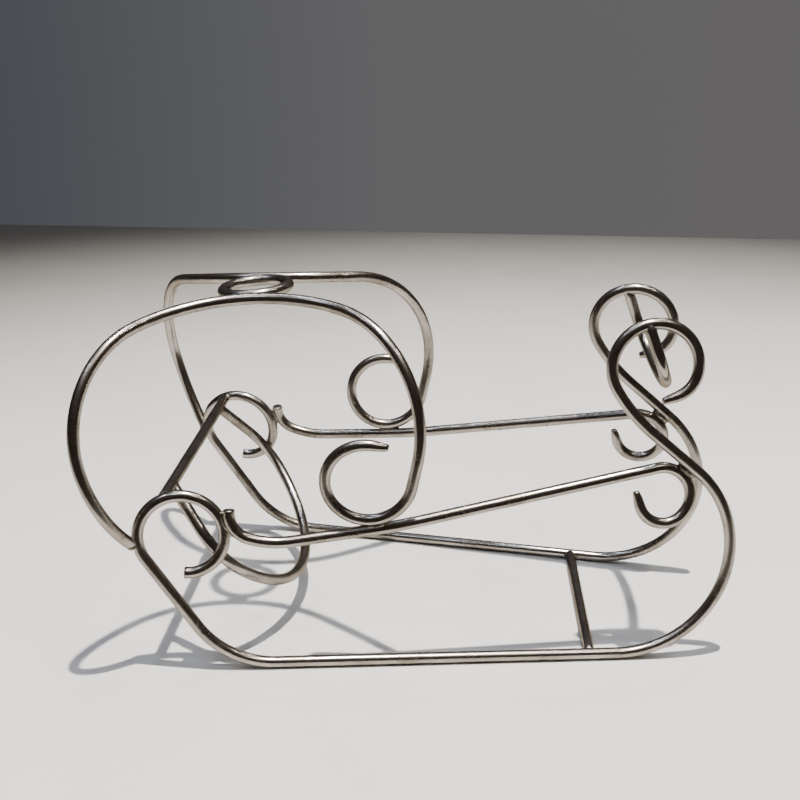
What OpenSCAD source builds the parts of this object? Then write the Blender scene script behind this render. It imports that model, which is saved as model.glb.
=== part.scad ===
// Wine bottle cradle (pouring stand), bent from one gauge of round wire and brazed.
// +X points to the neck end, +Y to the far side, +Z up. The two sides mirror about Y = 0.
// Origin: middle of the footprint, on the table surface.

/* [Wire] */
// Diameter of the round wire used for every piece
wire_d = 5; // [4.6:0.1:5]
// Length of the tapered point at each free wire end
tip_len = 5; // [4:0.5:6]
// Diameter left at the end of a tapered point
tip_d = 3; // [2:0.5:4]
// Angle of the bevel on the free end inside each rear scroll
bevel_angle = 40; // [30:5:55]

/* [Side frames] */
// How far each side frame turns in toward the neck end, in degrees
frame_yaw = 7.5; // [7:0.5:8]
// How far each side frame leans in, in degrees
frame_lean = 5.75; // [5.5:0.25:6]
// Straight length of each base rail
rail_len = 150.5; // [146:0.5:154]
// Bend radius at the neck end of each base rail
end_curve_r = 47.5; // [46:0.5:49]
// Bend radius of the rear scroll
rear_scroll_r = 18; // [17.5:0.5:18.5]
// Bend radius of the top scroll
top_scroll_r = 18.5; // [18:0.5:19]

/* [Cross pieces] */
// Position of the rear cross bar along the length
rear_bar_x = -105.5; // [-106:0.5:-105]
// Height of the rear cross bar
rear_bar_z = 77; // [76.5:0.5:77.5]
// Position of the foot cross bar along the length
foot_bar_x = 78; // [60:1:84]
// Radius of the ring between the handle arches
ring_r = 14.5; // [14:0.5:14.5]
// Height of the ring
ring_z = 152.5; // [152:0.5:153]
// Slope of the hoop that stops the base of the bottle
hoop_slope = 50; // [47:0.5:52]
// Slope of the neck rest
neck_slope = 68; // [64:1:72]

/* [Braze] */
// Radius of the braze run between wires that lie side by side
run_r = 2.1; // [1.8:0.1:2.3]
// Radius of the braze collar where a wire butts against another
collar_r = 3.5; // [3.2:0.1:3.8]

/* [Hidden] */
$fn = 90;
r = wire_d / 2;
eps = 0.02;
// Each stretch of wire stops this much short of the next, and a core pin inside joins the two.
joint_gap = 0.02;

// A bend table lists [straight, roll, bend radius, bend angle] for each bend in order.
// A positive angle bends toward +X of the travelling frame, whose +Z runs along the wire.
frame_start = [-97, -66.5, 44.6];
frame_head = -5;
rear_curl = 80;
rear_over = 229;
frame_rows = [
  [0, 0, 15.5, -rear_curl],
  [0, 0, rear_scroll_r, -rear_over],
  [37, 0, 40, -(360 - frame_head - rear_curl - rear_over)],
  [rail_len, 0, end_curve_r, -140.5],
  [26, 0, 80, 18.5],
  [0, 0, top_scroll_r, 222],
  [0, 0, 12, 67.5]
];

arm_start = [-78, -63.5, 73];
arm_turn = [10.75, 8.5, -90];
arm_rows = [
  [1.5, 0, 11.5, -75],
  [1.5, 0, 41, -22],
  [32.5, 0, 312, -4.5],
  [102.5, 0, 12.5, 30],
  [0, 0, 12.5, 122],
  [0, 0, 11, 120]
];

arch_start = [-118, -69, 58];
arch_turn = [13, 58, 133];
arch_rows = [
  [1, 0, 63, 35],
  [0, -7, 47, 87],
  [0, -72, 61.5, 91],
  [0, 75, 48, 95],
  [11, -37, 19.5, 66],
  [0, 0, 17.5, 144],
  [0, 0, 17, 63]
];

hoop_y = 48;
hoop_head = -24;
hoop_leg = 23;
hoop_corner_r = 27.5;
hoop_corner = 58;
hoop_side = hoop_head + hoop_corner;
hoop_reach = hoop_y - hoop_leg * sin(hoop_head) - hoop_corner_r * (cos(hoop_head) - cos(hoop_side));
hoop_base_r = hoop_reach / cos(hoop_side);
hoop_rows = [
  [hoop_leg, 0, hoop_corner_r, -hoop_corner],
  [0, 0, hoop_base_r, -2 * (90 - hoop_side)],
  [0, 0, hoop_corner_r, -hoop_corner]
];

neck_x = 93;
neck_y = 30.9;
neck_z = 149.6;
neck_head = -10;
neck_leg = 11;
neck_corner_r = 17;
neck_corner = 82;
neck_side = neck_head + neck_corner;
neck_reach = neck_y - neck_leg * sin(neck_head) - neck_corner_r * (cos(neck_head) - cos(neck_side));
neck_base_r = neck_reach / cos(neck_side);
neck_rows = [
  [neck_leg, 0, neck_corner_r, -neck_corner],
  [0, 0, neck_base_r, -2 * (90 - neck_side)],
  [0, 0, neck_corner_r, -neck_corner]
];

rear_bar_y = 64.3;
foot_bar_y = 47.75;
foot_bar_z = 2.53;
braze_floor = 0.8;
ring_x = -76;
ring_tilt = 6;

silver = [0.62, 0.59, 0.53];
braze = [0.70, 0.64, 0.52];

// ---- wire ----

// Pin inside the wire where two stretches meet.
module core_pin() {
  cylinder(h = 1, r = 0.7 * r, center = true);
}

// Straight wire along +Z.
module straight(len) {
  if (len > 0) {
    cylinder(h = len - joint_gap, r = r);
    translate([0, 0, len])
      core_pin();
  }
}

// Wire bent through a positive or negative angle, starting along +Z at the origin.
module bend(radius, angle) {
  s = sign(angle);
  short = joint_gap / radius * 180 / PI;
  if (angle != 0) {
    translate([s * radius, 0, 0])
      rotate([90, 0, s > 0 ? 180 : 0])
        rotate_extrude(angle = abs(angle) - short)
          translate([radius, 0])
            circle(r = r);
    past(radius, angle)
      core_pin();
  }
}

// Moves the children to the end of a bend.
module past(radius, angle) {
  translate([sign(angle) * radius * (1 - cos(angle)), 0, radius * sin(abs(angle))])
    rotate([0, angle, 0])
      children();
}

// The whole wire of a bend table; the children sit at its end.
module run(rows, i = 0) {
  if (i < len(rows)) {
    row = rows[i];
    straight(row[0]);
    translate([0, 0, row[0]])
      rotate([0, 0, row[1]]) {
        bend(row[2], row[3]);
        past(row[2], row[3])
          run(rows, i + 1)
            children();
      }
  } else {
    children();
  }
}

// Moves the children to a share of bend number stop, or of its straight when share is below 0.
module along(rows, stop, share, i = 0) {
  row = rows[i];
  if (i == stop && share < 0) {
    translate([0, 0, row[0] * (1 + share)])
      children();
  } else if (i == stop) {
    translate([0, 0, row[0]])
      rotate([0, 0, row[1]])
        past(row[2], row[3] * share)
          children();
  } else {
    translate([0, 0, row[0]])
      rotate([0, 0, row[1]])
        past(row[2], row[3])
          along(rows, stop, share, i + 1)
            children();
  }
}

// Ground point on a free end.
module tip() {
  cylinder(h = tip_len, r1 = r, r2 = tip_d / 2);
}

// Sets a wire's first direction: lean, yaw, then heading in the upright plane.
module aim(start, lean, yaw, head) {
  translate(start)
    rotate([-lean, 0, yaw])
      rotate([0, 90 - head, 0])
        children();
}

// Sets the travelling frame for a U that hangs in a sloping plane, starting on the near side.
module hang(start, slope, head) {
  translate(start)
    rotate([0, slope, 0])
      rotate([-90, 0, 0])
        rotate([0, 90 - head, 0])
          children();
}

module far() {
  mirror([0, 1, 0])
    children();
}

module both() {
  children();
  far()
    children();
}

module on_frame() {
  aim(frame_start, frame_lean, frame_yaw, frame_head)
    children();
}

module on_arm() {
  aim(arm_start, arm_turn[0], arm_turn[1], arm_turn[2])
    children();
}

module on_arch() {
  aim(arch_start, arch_turn[0], arch_turn[1], arch_turn[2])
    children();
}

// Short straight stretch of wire used to cope whatever meets it.
module cope(len = 24) {
  cylinder(h = len, r = r + eps, center = true);
}

// ---- pieces ----

module frame_wire() {
  difference() {
    on_frame()
      run(frame_rows)
        tip();
    on_frame()
      rotate([0, bevel_angle, 0])
        translate([0, 0, -wire_d])
          cube([4 * wire_d, 4 * wire_d, 2 * wire_d], center = true);
  }
}

module side_frame_near() {
  color(silver)
    frame_wire();
}

module side_frame_far() {
  color(silver)
    far()
      frame_wire();
}

module arm_wire() {
  on_arm()
    run(arm_rows)
      tip();
}

module bottle_rail_near() {
  color(silver)
    arm_wire();
}

module bottle_rail_far() {
  color(silver)
    far()
      arm_wire();
}

module arch_wire() {
  difference() {
    on_arch()
      run(arch_rows)
        tip();
    on_frame()
      along(frame_rows, 1, 0.888)
        cope();
  }
}

module handle_arch_near() {
  color(silver)
    arch_wire();
}

module handle_arch_far() {
  color(silver)
    far()
      arch_wire();
}

module handle_ring() {
  color(silver)
    translate([ring_x, 0, ring_z])
      rotate([0, -ring_tilt, 0])
        rotate_extrude()
          translate([ring_r, 0])
            circle(r = r);
}

// Direction of the side frame wire where the rear bar meets it.
module at_rear_joint() {
  on_frame()
    along(frame_rows, 1, 0.559)
      children();
}

module cross_bar(pos_x, pos_z, reach) {
  translate([pos_x, -reach, pos_z])
    rotate([-90, 0, 0])
      cylinder(h = 2 * reach, r = r);
}

module rear_bar() {
  color(silver)
    difference() {
      cross_bar(rear_bar_x, rear_bar_z, rear_bar_y - 0.5);
      both()
        at_rear_joint()
          cope();
    }
}

module foot_bar() {
  color(silver)
    difference() {
      cross_bar(foot_bar_x, foot_bar_z, foot_bar_y - 0.5);
      both()
        translate([foot_bar_x, -foot_bar_y, foot_bar_z])
          rotate([90, 0, 90 + frame_yaw])
            cope();
    }
}

module base_hoop() {
  color(silver)
    difference() {
      hang([rear_bar_x, -hoop_y, rear_bar_z], hoop_slope, hoop_head)
        run(hoop_rows)
          cylinder(h = hoop_leg, r = r);
      translate([rear_bar_x, 0, rear_bar_z])
        rotate([-90, 0, 0])
          cope(140);
    }
}

// Top scroll wire where the neck rest meets it.
module at_neck_joint() {
  on_frame()
    along(frame_rows, 5, 0.49)
      children();
}

module neck_rest() {
  color(silver)
    difference() {
      hang([neck_x, -neck_y, neck_z], neck_slope, neck_head)
        run(neck_rows)
          cylinder(h = neck_leg, r = r);
      both()
        at_neck_joint()
          cope();
    }
}

// ---- braze ----

// Braze between two wires that run side by side, gap_d apart between centres.
module side_run(gap_d, turn) {
  rotate([0, 0, turn])
    difference() {
      translate([gap_d / 2, 0, 0]) {
        cylinder(h = 4, r = run_r, center = true);
        translate([0, 0, 2])
          cylinder(h = 2.5, r1 = run_r, r2 = 1);
        translate([0, 0, -4.5])
          cylinder(h = 2.5, r1 = 1, r2 = run_r);
      }
      cope();
      translate([gap_d, 0, 0])
        cope();
    }
}

// Collar around a wire along +Z that butts against another wire at the origin.
module collar() {
  translate([0, 0, 1])
    cylinder(h = 3.6, r1 = collar_r, r2 = r + 0.1);
}

module braze_scrolls() {
  color(braze)
    both() {
      on_arm()
        along(arm_rows, 0, 0.2)
          side_run(5, 36.4);
      difference() {
        on_arch()
          translate([0, 0, -3])
            collar();
        on_arch()
          cope();
        on_frame()
          along(frame_rows, 1, 0.888)
            cope();
      }
    }
}

module braze_hooks() {
  color(braze)
    both() {
      on_arm()
        along(arm_rows, 4, 0.189)
          side_run(5.76, -155.3);
      on_arch()
        along(arch_rows, 5, 0.046)
          side_run(4.95, 179.2);
    }
}

module braze_ring() {
  color(braze)
    both()
      difference() {
        translate([ring_x, -ring_r - 2.6, ring_z - 0.1])
          rotate([0, 90, 0]) {
            cylinder(h = 5, r = run_r, center = true);
            translate([0, 0, 2.5])
              cylinder(h = 3, r1 = run_r, r2 = 1);
            translate([0, 0, -5.5])
              cylinder(h = 3, r1 = 1, r2 = run_r);
          }
        translate([ring_x, 0, ring_z])
          rotate([0, -ring_tilt, 0])
            rotate_extrude()
              translate([ring_r, 0])
                circle(r = r + eps);
        on_arch()
          along(arch_rows, 2, 0.533)
            cope();
      }
}

module braze_rear() {
  color(braze)
    both() {
      difference() {
        translate([rear_bar_x, -rear_bar_y, rear_bar_z])
          rotate([-90, 0, 0])
            collar();
        cross_bar(rear_bar_x, rear_bar_z, rear_bar_y);
        at_rear_joint()
          cope();
      }
      difference() {
        hang([rear_bar_x, -hoop_y, rear_bar_z], hoop_slope, hoop_head)
          collar();
        hang([rear_bar_x, -hoop_y, rear_bar_z], hoop_slope, hoop_head)
          cope();
        cross_bar(rear_bar_x, rear_bar_z, rear_bar_y);
      }
    }
}

module braze_neck() {
  color(braze)
    both()
      difference() {
        hang([neck_x, -neck_y, neck_z], neck_slope, neck_head)
          collar();
        hang([neck_x, -neck_y, neck_z], neck_slope, neck_head)
          cope();
        at_neck_joint()
          cope();
      }
}

module braze_foot() {
  color(braze)
    both()
      difference() {
        translate([foot_bar_x, -foot_bar_y, foot_bar_z])
          rotate([-90, 0, 0])
            collar();
        cross_bar(foot_bar_x, foot_bar_z, foot_bar_y);
        translate([foot_bar_x, -foot_bar_y, foot_bar_z])
          rotate([90, 0, 90 + frame_yaw])
            cope();
        translate([0, 0, braze_floor - 10])
          cube([400, 200, 20], center = true);
      }
}

side_frame_near();
side_frame_far();
bottle_rail_near();
bottle_rail_far();
handle_arch_near();
handle_arch_far();
handle_ring();
rear_bar();
base_hoop();
neck_rest();
foot_bar();
braze_scrolls();
braze_hooks();
braze_ring();
braze_rear();
braze_neck();
braze_foot();
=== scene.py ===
"""Looks of the bent-wire wine bottle cradle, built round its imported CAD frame. Metres, +Z up."""
import math
import random

import bpy
from mathutils import Matrix, Vector


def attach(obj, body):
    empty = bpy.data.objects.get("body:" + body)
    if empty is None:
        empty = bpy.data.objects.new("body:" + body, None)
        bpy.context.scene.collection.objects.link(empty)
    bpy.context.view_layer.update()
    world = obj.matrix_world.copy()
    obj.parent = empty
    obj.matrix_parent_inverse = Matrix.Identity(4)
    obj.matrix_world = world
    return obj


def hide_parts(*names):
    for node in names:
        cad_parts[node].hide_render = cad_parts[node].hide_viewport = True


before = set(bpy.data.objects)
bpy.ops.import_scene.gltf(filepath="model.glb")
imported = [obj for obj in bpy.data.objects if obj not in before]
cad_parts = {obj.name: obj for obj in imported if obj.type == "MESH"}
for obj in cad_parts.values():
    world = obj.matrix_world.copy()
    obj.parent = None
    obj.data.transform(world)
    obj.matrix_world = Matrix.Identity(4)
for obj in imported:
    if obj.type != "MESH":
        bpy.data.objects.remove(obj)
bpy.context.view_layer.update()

MM = 0.001
R = 2.5     # wire radius
TIP = 5.0   # ground point on each free end, past the last bend


# ---- wire paths: bend tables in millimetres, the same as the CAD's ----

def upright(start, lean, yaw, head):
    """Travelling frame of a wire in a leaning upright plane on the near side."""
    m = Matrix.Translation(start) @ Matrix.Rotation(math.radians(yaw), 4, "Z")
    m = m @ Matrix.Rotation(math.radians(-lean), 4, "X")
    return m @ Matrix.Rotation(math.radians(90 - head), 4, "Y")


def hanging(start, slope, head):
    """Travelling frame of a U that hangs in a sloping plane."""
    m = Matrix.Translation(start) @ Matrix.Rotation(math.radians(slope), 4, "Y")
    m = m @ Matrix.Rotation(math.radians(-90), 4, "X")
    return m @ Matrix.Rotation(math.radians(90 - head), 4, "Y")


def bend(radius, angle):
    s = 1 if angle > 0 else -1
    a = math.radians(abs(angle))
    m = Matrix.Translation((s * radius * (1 - math.cos(a)), 0, radius * math.sin(a)))
    return m @ Matrix.Rotation(math.radians(angle), 4, "Y")


def walk(m, rows, end=0.0, fine=1.0):
    """Travelling frames down the wire, with the length run at each. The rings keep one zero line
    where a bend is turned about the wire."""
    out = [(0.0, m.copy())]
    run = turned = 0.0
    for length, roll, radius, angle in list(rows) + ([(end, 0, 0, 0)] if end else []):
        back = Matrix.Rotation(math.radians(-turned), 4, "Z")
        if length > 0:
            n = max(2, int(length / 3.0))
            out += [(run + length * i / n, m @ Matrix.Translation((0, 0, length * i / n)) @ back)
                    for i in range(1, n + 1)]
            m = m @ Matrix.Translation((0, 0, length))
            run += length
        m = m @ Matrix.Rotation(math.radians(roll), 4, "Z")
        turned += roll
        back = Matrix.Rotation(math.radians(-turned), 4, "Z")
        if angle:
            arc = radius * math.radians(abs(angle))
            n = max(3, int(arc / fine))
            out += [(run + arc * i / n, m @ bend(radius, angle * i / n) @ back) for i in range(1, n + 1)]
            m = m @ bend(radius, angle)
            run += arc
    return out


def along(m, rows, stop, share):
    """The travelling frame at a share of bend number stop, or of its straight when share is below 0."""
    for i, (length, roll, radius, angle) in enumerate(rows):
        if i == stop and share < 0:
            return m @ Matrix.Translation((0, 0, length * (1 + share)))
        m = m @ Matrix.Translation((0, 0, length)) @ Matrix.Rotation(math.radians(roll), 4, "Z")
        if i == stop:
            return m @ bend(radius, angle * share)
        m = m @ bend(radius, angle)


FRAME_AT = upright((-97, -66.5, 44.6), 5.75, 7.5, -5)
FRAME_ROWS = [
    (0, 0, 15.5, -80), (0, 0, 18, -229), (37, 0, 40, -56), (150.5, 0, 47.5, -140.5),
    (26, 0, 80, 18.5), (0, 0, 18.5, 222), (0, 0, 12, 67.5)]
ARM_AT = upright((-78, -63.5, 73), 10.75, 8.5, -90)
ARM_ROWS = [
    (1.5, 0, 11.5, -75), (1.5, 0, 41, -22), (32.5, 0, 312, -4.5), (102.5, 0, 12.5, 30),
    (0, 0, 12.5, 122), (0, 0, 11, 120)]
ARCH_AT = upright((-118, -69, 58), 13, 58, 133)
ARCH_ROWS = [
    (1, 0, 63, 35), (0, -7, 47, 87), (0, -72, 61.5, 91), (0, 75, 48, 95),
    (11, -37, 19.5, 66), (0, 0, 17.5, 144), (0, 0, 17, 63)]


def u_rows(half_width, head, leg, corner_r, corner):
    """A symmetric U: leg, corner, base, corner, leg. The base radius closes it on the middle plane."""
    h, side = math.radians(head), math.radians(head + corner)
    reach = half_width - leg * math.sin(h) - corner_r * (math.cos(h) - math.cos(side))
    base_r = reach / math.cos(side)
    return [(leg, 0, corner_r, -corner), (0, 0, base_r, -2 * (90 - head - corner)),
            (0, 0, corner_r, -corner), (leg, 0, 0, 0)]


REAR = (-105.5, 64.3, 77)
HOOP_AT = hanging((REAR[0], -48, REAR[2]), 50, -24)
HOOP_ROWS = u_rows(48, -24, 23, 27.5, 58)
NECK_AT = hanging((93, -30.9, 149.6), 68, -10)
NECK_ROWS = u_rows(30.9, -10, 11, 17, 82)
FOOT = (78, 47.75, 2.53)
RING = (-76, 0, 152.5)
RING_R = 14.5
FAR = Matrix.Scale(-1, 4, (0, 1, 0))
INWARD = Matrix.Rotation(math.radians(-90), 4, "X")   # turns +Z toward +Y


# ---- meshes ----

def mesh_object(name, verts, faces, uvs=None, far=False):
    """A smooth mesh from millimetre points, mirrored to the far side when asked."""
    me = bpy.data.meshes.new(name)
    pts = [FAR @ Vector(v) for v in verts] if far else verts
    me.from_pydata([Vector(p) * MM for p in pts], [], [f[::-1] for f in faces] if far else faces)
    if uvs:
        layer = me.uv_layers.new(name="wire")
        for poly in me.polygons:
            corners = [uvs[v] for v in poly.vertices]
            wraps = max(v for u, v in corners) > 0.75
            for li, (u, v) in zip(poly.loop_indices, corners):
                layer.data[li].uv = (u, v + 1 if wraps and v < 0.25 else v)
    for poly in me.polygons:
        poly.use_smooth = True
    me.validate()
    o = bpy.data.objects.new(name, me)
    bpy.context.scene.collection.objects.link(o)
    return o


def fit_out(o, node):
    """Ties a piece to the body and hides the CAD node it stands for."""
    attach(o, "root")
    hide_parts(node)
    return o


def softened_end(verts, uvs, faces, row, ring0, sides, inward):
    """Closes a wire's cut end and rounds the edge off. inward is 1 at its start and -1 at its end."""
    prev = list(range(ring0, ring0 + sides))
    mid = sum((verts[v] for v in prev), Vector()) / sides
    r0 = (verts[ring0] - mid).length
    run, m = row[0], row[1].copy()
    m.translation = mid

    def face(*corners):
        faces.append(corners[::-1] if inward > 0 else corners)

    for share, out in ((0.93, 0.16), (0.78, 0.30)):
        ring = []
        for k in range(sides):
            a = 2 * math.pi * k / sides
            verts.append(m @ Vector((r0 * share * math.cos(a), r0 * share * math.sin(a), -inward * out)))
            uvs.append((run / 40.0, k / sides))
            ring.append(len(verts) - 1)
        for k in range(sides):
            face(prev[k], prev[(k + 1) % sides], ring[(k + 1) % sides], ring[k])
        prev = ring
    verts.append(m @ Vector((0, 0, -inward * 0.36)))
    uvs.append((run / 40.0, 0.5))
    for k in range(sides):
        face(prev[k], prev[(k + 1) % sides], len(verts) - 1)


def wire(name, path, node, far=False, tip=0, outer=180, closed=False, sides=28, seed=1):
    """A round wire swept down its path, very slightly uneven as hand bending leaves it. The last
    tip millimetres are ground away on the inner side of the bend; outer is where the kept side is."""
    rnd = random.Random(seed)
    waves = [(rnd.uniform(14, 60), rnd.uniform(0, 6.3), rnd.uniform(0, 6.3)) for _ in range(5)]
    total = path[-1][0]
    verts, uvs, faces = [], [], []
    rows = path[:-1] if closed else path
    kept = Vector((math.cos(math.radians(outer)), math.sin(math.radians(outer)), 0))
    for run, m in rows:
        r, off = R, Vector()
        if tip and total - run < tip:
            t = 1 - (total - run) / tip
            r = R * (1 - 0.40 * t ** 2.2)
            off = kept * ((R - r) * 0.75)
        for k in range(sides):
            a = 2 * math.pi * k / sides
            wob = sum(math.sin(run / w * 2 * math.pi + p + 2 * math.cos(a + q)) for w, p, q in waves) / 5
            rr = r - 0.012 * (1 + wob)
            verts.append(m @ (off + Vector((rr * math.cos(a), rr * math.sin(a), 0))))
            uvs.append((run / 40.0, k / sides))
    n = len(rows)
    for i in range(n if closed else n - 1):
        for k in range(sides):
            a, b = i * sides + k, i * sides + (k + 1) % sides
            c, d = ((i + 1) % n) * sides + (k + 1) % sides, ((i + 1) % n) * sides + k
            faces.append((a, b, c, d))
    if not closed:
        softened_end(verts, uvs, faces, rows[0], 0, sides, 1)
        softened_end(verts, uvs, faces, rows[-1], (n - 1) * sides, sides, -1)
    return fit_out(mesh_object(name, verts, faces, uvs, far), node)


def host_top(across):
    """Height of a wire's surface over its axis, at a distance across it."""
    return math.sqrt(max(0.0, R * R - across * across))


def tangent_near(path, point):
    """Direction of a wire where it passes closest to a point."""
    run, m = min(path, key=lambda f: (f[1].translation - Vector(point)).length)
    return m.to_3x3() @ Vector((0, 0, 1))


def collar(at, host, seed=3, reach=1.3, floor=None):
    """Braze drawn up round a wire (+Z of at) that butts on another. host is the way that one runs."""
    rnd = random.Random(seed)
    waves = [(rnd.randint(2, 5), rnd.uniform(0, 6.3)) for _ in range(4)]
    h = at.to_3x3().inverted() @ Vector(host).normalized()
    facing = at @ Matrix.Rotation(math.atan2(h.y, h.x), 4, "Z")
    slant = h.z / math.hypot(h.x, h.y)
    sides, steps = 40, 9
    verts, faces = [], []
    for j in range(steps + 1):
        t = j / steps
        for k in range(sides):
            a = 2 * math.pi * k / sides
            lump = 1 + 0.10 * sum(math.sin(n * a + p) for n, p in waves) / 4
            c2 = math.cos(a) ** 2
            spread = (0.10 + reach * c2 ** 1.2) * lump
            rise = (0.20 + 0.9 * (0.35 + 0.65 * c2)) * lump
            q = t * math.pi / 2
            rad = (R - 0.06) + spread * (1 - math.cos(q))
            base = host_top((R + spread) * math.sin(a)) - 0.08
            top = host_top(R * math.sin(a)) + rise
            x, y = rad * math.cos(a), rad * math.sin(a)
            verts.append(facing @ Vector((x, y, base + (top - base) * (1 - math.sin(q)) + x * slant)))
    for j in range(steps):
        for k in range(sides):
            a, b = j * sides + k, j * sides + (k + 1) % sides
            faces.append((a, a + sides, b + sides, b))
    for j, up in ((0, True), (steps, False)):
        mid = sum((verts[j * sides + k] for k in range(sides)), Vector()) / sides
        verts.append(mid)
        c = len(verts) - 1
        for k in range(sides):
            f = (j * sides + k, j * sides + (k + 1) % sides, c)
            faces.append(f if up else f[::-1])
    if floor is not None:
        for v in verts:
            v.z = max(v.z, floor)
    return verts, faces


def bead(at, length, thick, wide, seed=5):
    """Braze that has run along two wires lying side by side: a long lump, thin at its ends."""
    rnd = random.Random(seed)
    waves = [(rnd.randint(1, 4), rnd.randint(1, 3), rnd.uniform(0, 6.3)) for _ in range(6)]
    sides, steps = 28, 20
    verts, faces = [], []
    for j in range(steps + 1):
        t = -1 + 2 * j / steps
        env = math.sqrt(max(0.0, 1 - abs(t) ** 2.4))
        for k in range(sides):
            a = 2 * math.pi * k / sides
            lump = 1 + 0.07 * sum(math.sin(n * a + m * t * 3 + p) for n, m, p in waves) / 3
            size = env * lump
            verts.append(at @ Vector((wide * size * math.cos(a), thick * size * math.sin(a), t * length)))
    for j in range(steps):
        for k in range(sides):
            a, b = j * sides + k, j * sides + (k + 1) % sides
            faces.append((a, b, b + sides, a + sides))
    return verts, faces


def braze(node, parts):
    """One braze object from near-side meshes and their mirror images."""
    verts, faces = [], []
    for vs, fs in parts:
        for mirrored in (False, True):
            base = len(verts)
            verts += [FAR @ v for v in vs] if mirrored else vs
            faces += [tuple(base + i for i in (f[::-1] if mirrored else f)) for f in fs]
    return fit_out(mesh_object(node + "_flow", verts, faces), node)


def turn(m, deg):
    return m @ Matrix.Rotation(math.radians(deg), 4, "Z")


def shift(m, x=0, y=0, z=0):
    return m @ Matrix.Translation((x, y, z))


def ring_path():
    """The closed ring between the arch tops, tilted toward the neck end."""
    tilt = Matrix.Rotation(math.radians(-6), 4, "Y")
    out = []
    for i in range(97):
        a = 2 * math.pi * i / 96
        m = Matrix.Translation(RING) @ tilt @ Matrix.Rotation(a, 4, "Z")
        out.append((RING_R * a, shift(m, RING_R) @ INWARD))
    return out


def bar_path(x, reach, z):
    """A straight bar from side to side."""
    m = Matrix.Translation((x, -reach, z)) @ INWARD
    return walk(m, [(2 * reach, 0, 0, 0)])


# ---- pieces ----

FRAME_PATH = walk(FRAME_AT, FRAME_ROWS)
REAR_END = (REAR[0], -REAR[1], REAR[2])
FOOT_END = (FOOT[0], -FOOT[1], FOOT[2])
RING_SIDE = Matrix.Translation((RING[0], -RING_R - 2.6, RING[2] - 0.1))

wires = []
for far, side in ((False, "near"), (True, "far")):
    s = 10 if far else 0
    wires.append(wire(f"frame_wire_{side}", walk(FRAME_AT, FRAME_ROWS, TIP), f"side_frame_{side}", far,
                      tip=11, seed=1 + s))
    wires.append(wire(f"rail_wire_{side}", walk(ARM_AT, ARM_ROWS, TIP), f"bottle_rail_{side}", far,
                      tip=9, seed=2 + s))
    wires.append(wire(f"arch_wire_{side}", walk(ARCH_AT, ARCH_ROWS, TIP), f"handle_arch_{side}", far,
                      tip=11, outer=139, seed=3 + s))
wires.append(wire("ring_wire", ring_path(), "handle_ring", closed=True, seed=4))
wires.append(wire("rear_bar_wire", bar_path(REAR[0], REAR[1] - 1.2, REAR[2]), "rear_bar", seed=5))
wires.append(wire("foot_bar_wire", bar_path(FOOT[0], FOOT[1] - 1.2, FOOT[2]), "foot_bar", seed=6))
wires.append(wire("hoop_wire", walk(HOOP_AT, HOOP_ROWS), "base_hoop", seed=7))
wires.append(wire("neck_wire", walk(NECK_AT, NECK_ROWS), "neck_rest", seed=8))

flows = [
    braze("braze_scrolls", [
        bead(shift(turn(along(ARM_AT, ARM_ROWS, 0, 0.2), 36.4), 2.5), 4.6, 2.0, 1.5, 11),
        bead(shift(ARCH_AT, 0, 0, 0.5), 2.2, 2.62, 2.62, 12)]),
    braze("braze_hooks", [
        bead(shift(turn(along(ARM_AT, ARM_ROWS, 4, 0.189), -155.3), 2.88), 5.0, 2.1, 1.9, 13),
        bead(shift(turn(along(ARCH_AT, ARCH_ROWS, 5, 0.046), 179.2), 2.47), 5.2, 2.0, 1.5, 14)]),
    braze("braze_ring", [bead(RING_SIDE @ Matrix.Rotation(math.radians(90), 4, "Y"), 5.2, 1.7, 2.0, 15)]),
    braze("braze_rear", [
        collar(Matrix.Translation(REAR_END) @ INWARD, tangent_near(FRAME_PATH, REAR_END), seed=16),
        collar(HOOP_AT, (0, 1, 0), seed=17)]),
    braze("braze_neck", [collar(NECK_AT, tangent_near(FRAME_PATH, NECK_AT.translation), seed=18)]),
    braze("braze_foot", [
        collar(Matrix.Translation(FOOT_END) @ INWARD, tangent_near(FRAME_PATH, FOOT_END), seed=19, reach=1.6,
               floor=0.3)]),
]


# ---- materials ----

def nodes_of(name):
    mat = bpy.data.materials.new(name)
    mat.use_nodes = True
    nt = mat.node_tree
    return mat, nt, nt.nodes["Principled BSDF"]


def add(nt, kind, **values):
    n = nt.nodes.new(kind)
    for k, v in values.items():
        if k in n.inputs:
            n.inputs[k].default_value = v
        else:
            setattr(n, k, v)
    return n


def ramp(nt, source, stops):
    n = nt.nodes.new("ShaderNodeValToRGB")
    el = n.color_ramp.elements
    while len(el) < len(stops):
        el.new(0.5)
    for e, (pos, col) in zip(el, stops):
        e.position = pos
        e.color = (*col, 1)
    nt.links.new(source, n.inputs[0])
    return n.outputs[0]


def span_of(nt, source, lo, hi, to_lo=0.0, to_hi=1.0):
    """A value stretched from one range to another."""
    n = nt.nodes.new("ShaderNodeMapRange")
    nt.links.new(source, n.inputs[0])
    for socket, value in zip(n.inputs[1:5], (lo, hi, to_lo, to_hi)):
        socket.default_value = value
    return n.outputs[0]


def stretched_noise(nt, uv, scale, detail, roughness, turned=0.0):
    """Noise drawn out along or across the wire."""
    m = nt.nodes.new("ShaderNodeMapping")
    m.inputs["Scale"].default_value = scale
    m.inputs["Rotation"].default_value = (0, 0, turned)
    nt.links.new(uv, m.inputs["Vector"])
    n = add(nt, "ShaderNodeTexNoise", Scale=1.0, Detail=detail, Roughness=roughness)
    nt.links.new(m.outputs[0], n.inputs["Vector"])
    return n.outputs["Fac"]


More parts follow.
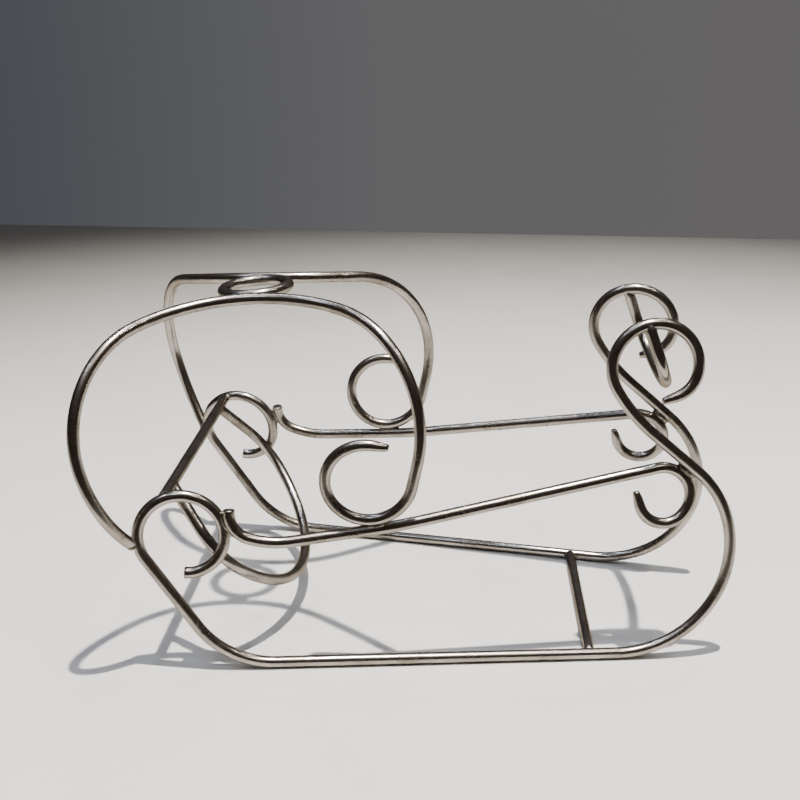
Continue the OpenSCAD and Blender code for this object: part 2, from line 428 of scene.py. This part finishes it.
def two_bumps(nt, bsdf, coarse, fine):
    """Two bump layers, each as (height, strength, distance)."""
    normal = None
    for height, strength, distance in (coarse, fine):
        b = add(nt, "ShaderNodeBump", Strength=strength, Distance=distance)
        nt.links.new(height, b.inputs["Height"])
        if normal:
            nt.links.new(normal, b.inputs["Normal"])
        normal = b.outputs[0]
    nt.links.new(normal, bsdf.inputs["Normal"])


def plated_wire(name, bright, mid, dark, rough):
    """Old silver plate on drawn wire: brown-grey tarnish in clouds, drawing lines, rubs and small specks."""
    mat, nt, bsdf = nodes_of(name)
    bsdf.inputs["Metallic"].default_value = 1.0
    bsdf.inputs["Specular Tint"].default_value = (0.42, 0.37, 0.32, 1)
    link = nt.links.new
    obj = add(nt, "ShaderNodeTexCoord").outputs["Object"]
    uv = add(nt, "ShaderNodeTexCoord").outputs["UV"]
    clouds = add(nt, "ShaderNodeTexNoise", Scale=55.0, Detail=6.0, Roughness=0.62)
    link(obj, clouds.inputs["Vector"])
    fine = add(nt, "ShaderNodeTexNoise", Scale=620.0, Detail=4.0, Roughness=0.6)
    link(obj, fine.inputs["Vector"])
    tone = ramp(nt, clouds.outputs["Fac"], [(0.30, bright), (0.50, mid), (0.70, dark)])
    specks = ramp(nt, fine.outputs["Fac"], [(0.62, (0, 0, 0)), (0.78, (0.7, 0.7, 0.7))])
    mix = add(nt, "ShaderNodeMix", data_type="RGBA")
    link(specks, mix.inputs[0])
    link(tone, mix.inputs[6])
    mix.inputs[7].default_value = (*[c * 0.45 for c in dark], 1)
    link(mix.outputs[2], bsdf.inputs["Base Color"])
    drawn = stretched_noise(nt, uv, (2.0, 42.0, 1.0), 5.0, 0.65)
    rub = stretched_noise(nt, uv, (60.0, 2.0, 1.0), 3.0, 0.7, turned=0.12)
    extra = add(nt, "ShaderNodeMath", operation="MULTIPLY")
    link(ramp(nt, rub, [(0.56, (0, 0, 0)), (0.70, (1, 1, 1))]), extra.inputs[0])
    extra.inputs[1].default_value = 0.012
    total = add(nt, "ShaderNodeMath", operation="ADD")
    link(span_of(nt, clouds.outputs["Fac"], 0.3, 0.7, *rough), total.inputs[0])
    link(extra.outputs[0], total.inputs[1])
    link(total.outputs[0], bsdf.inputs["Roughness"])
    two_bumps(nt, bsdf, (drawn, 0.05, 0.00008), (fine.outputs["Fac"], 0.04, 0.00004))
    return mat


def brazed(name):
    """Plated braze: duller and grainier than the wire, with fine pits."""
    mat, nt, bsdf = nodes_of(name)
    bsdf.inputs["Metallic"].default_value = 1.0
    link = nt.links.new
    obj = add(nt, "ShaderNodeTexCoord").outputs["Object"]
    grain = add(nt, "ShaderNodeTexNoise", Scale=420.0, Detail=6.0, Roughness=0.7)
    link(obj, grain.inputs["Vector"])
    pits = add(nt, "ShaderNodeTexVoronoi", Scale=900.0)
    link(obj, pits.inputs["Vector"])
    tone = ramp(nt, grain.outputs["Fac"],
                [(0.32, (0.34, 0.31, 0.26)), (0.52, (0.17, 0.15, 0.12)), (0.68, (0.05, 0.04, 0.03))])
    link(tone, bsdf.inputs["Base Color"])
    link(span_of(nt, grain.outputs["Fac"], 0.3, 0.7, 0.26, 0.50), bsdf.inputs["Roughness"])
    two_bumps(nt, bsdf, (grain.outputs["Fac"], 0.45, 0.0003), (pits.outputs["Distance"], 0.25, 0.0001))
    return mat


plate = plated_wire("tarnished_plate", bright=(0.43, 0.405, 0.368), mid=(0.32, 0.29, 0.255),
                    dark=(0.19, 0.162, 0.13), rough=(0.20, 0.30))
joint = brazed("plated_braze")
for o in wires:
    o.data.materials.append(plate)
for o in flows:
    o.data.materials.append(joint)


# ---- stage ----

def table_material():
    mat, nt, bsdf = nodes_of("table_top")
    tc = add(nt, "ShaderNodeTexCoord").outputs["Object"]
    n = add(nt, "ShaderNodeTexNoise", Scale=9.0, Detail=4.0, Roughness=0.55)
    nt.links.new(tc, n.inputs["Vector"])
    colour = Vector((0.70, 0.69, 0.665))
    tone = ramp(nt, n.outputs["Fac"], [(0.35, colour * 0.97), (0.65, colour * 1.03)])
    nt.links.new(tone, bsdf.inputs["Base Color"])
    bsdf.inputs["Roughness"].default_value = 0.55
    bsdf.inputs["Specular IOR Level"].default_value = 0.35
    return mat


def quad(name, pts, mat):
    me = bpy.data.meshes.new(name)
    me.from_pydata(pts, [], [(0, 1, 2, 3)])
    o = bpy.data.objects.new(name, me)
    bpy.context.scene.collection.objects.link(o)
    me.materials.append(mat)
    return o


def backdrop_material():
    """Grey with painted light of its own, darker and bluer at the left, so no lamp has to spill on the
    table.
    """
    mat, nt, bsdf = nodes_of("backdrop_grey")
    tc = add(nt, "ShaderNodeTexCoord").outputs["Object"]
    split = add(nt, "ShaderNodeSeparateXYZ")
    nt.links.new(tc, split.inputs[0])
    tone = ramp(nt, span_of(nt, split.outputs[0], -1.3, 0.7),
                [(0.0, (0.070, 0.076, 0.087)), (0.55, (0.126, 0.127, 0.132)), (1.0, (0.134, 0.130, 0.130))])
    nt.links.new(tone, bsdf.inputs["Emission Color"])
    bsdf.inputs["Emission Strength"].default_value = 0.95
    bsdf.inputs["Base Color"].default_value = (0.12, 0.12, 0.125, 1)
    bsdf.inputs["Roughness"].default_value = 0.95
    bsdf.inputs["Specular IOR Level"].default_value = 0.05
    return mat


def aim(o, loc, at):
    o.location = loc
    o.rotation_euler = (Vector(at) - Vector(loc)).to_track_quat("-Z", "Y").to_euler()
    bpy.context.scene.collection.objects.link(o)
    return o


def spot(name, loc, at, radius, power, colour, cone):
    d = bpy.data.lights.new(name, "SPOT")
    d.energy, d.color, d.shadow_soft_size = power, colour, radius
    d.spot_size, d.spot_blend = math.radians(cone), 1.0
    return aim(bpy.data.objects.new(name, d), loc, at)


def area(name, loc, at, size, power, colour):
    d = bpy.data.lights.new(name, "AREA")
    d.shape = "SQUARE"
    d.size, d.energy, d.color = size, power, colour
    return aim(bpy.data.objects.new(name, d), loc, at)


# The table ends just in front of the cradle, so the wires mirror the dim room there.
FRONT = -0.158
REAR_EDGE = 0.936
table = quad("table", [(-2.2, FRONT, 0), (2.2, FRONT, 0), (2.2, REAR_EDGE, 0), (-2.2, REAR_EDGE, 0)],
             table_material())
table.rotation_euler = (0, 0, math.radians(3.1))
quad("backdrop", [(-6, 2.6, -2.5), (6, 2.6, -2.5), (6, 2.6, 3.5), (-6, 2.6, 3.5)], backdrop_material())

# One small strong lamp almost overhead, and weak ones round the room.
WARM = (1.0, 0.95, 0.875)
COOL = (0.70, 0.79, 1.0)
spot("key", (0.16, -0.18, 3.47), (0.26, -0.30, 0), 0.035, 1180, WARM, 45)
for i, (x, y, z, share, tint) in enumerate([
        (-1.5, -0.6, 2.4, 0.05, COOL), (1.6, -0.2, 2.6, 0.06, WARM), (-0.9, 1.3, 3.0, 0.06, COOL),
        (1.1, 1.4, 3.0, 0.07, WARM), (-0.6, -1.4, 2.8, 0.06, COOL), (0.9, -1.2, 2.8, 0.06, WARM),
        (-1.3, 0.5, 3.1, 0.06, COOL), (0.1, 0.9, 3.3, 0.07, COOL)]):
    spot(f"lamp_{i}", (x, y, z), (0.16, -0.16, 0), 0.08, 640 * share, tint, 30)
area("ceiling", (0.1, -0.3, 3.3), (0.1, -0.3, 0), 0.5, 3, COOL)

world = bpy.data.worlds.new("room")
bpy.context.scene.world = world
world.use_nodes = True
bg = world.node_tree.nodes["Background"]
bg.inputs[0].default_value = (1.0, 0.80, 0.62, 1)
bg.inputs[1].default_value = 0.042

# ---- camera ----

cam = bpy.data.objects.new("camera", bpy.data.cameras.new("camera"))
bpy.context.scene.collection.objects.link(cam)
cam.location = (0.012, -0.4746, 0.2703)
cam.rotation_euler = (Matrix.Rotation(math.radians(2.74), 4, "Z")
                      @ Matrix.Rotation(math.radians(90 - 19.53), 4, "X")
                      @ Matrix.Rotation(math.radians(1.15), 4, "Z")).to_euler()
cam.data.sensor_width = 36
cam.data.lens = 49.5
cam.data.clip_start = 0.01
bpy.context.scene.camera = cam

bpy.context.view_layer.update()
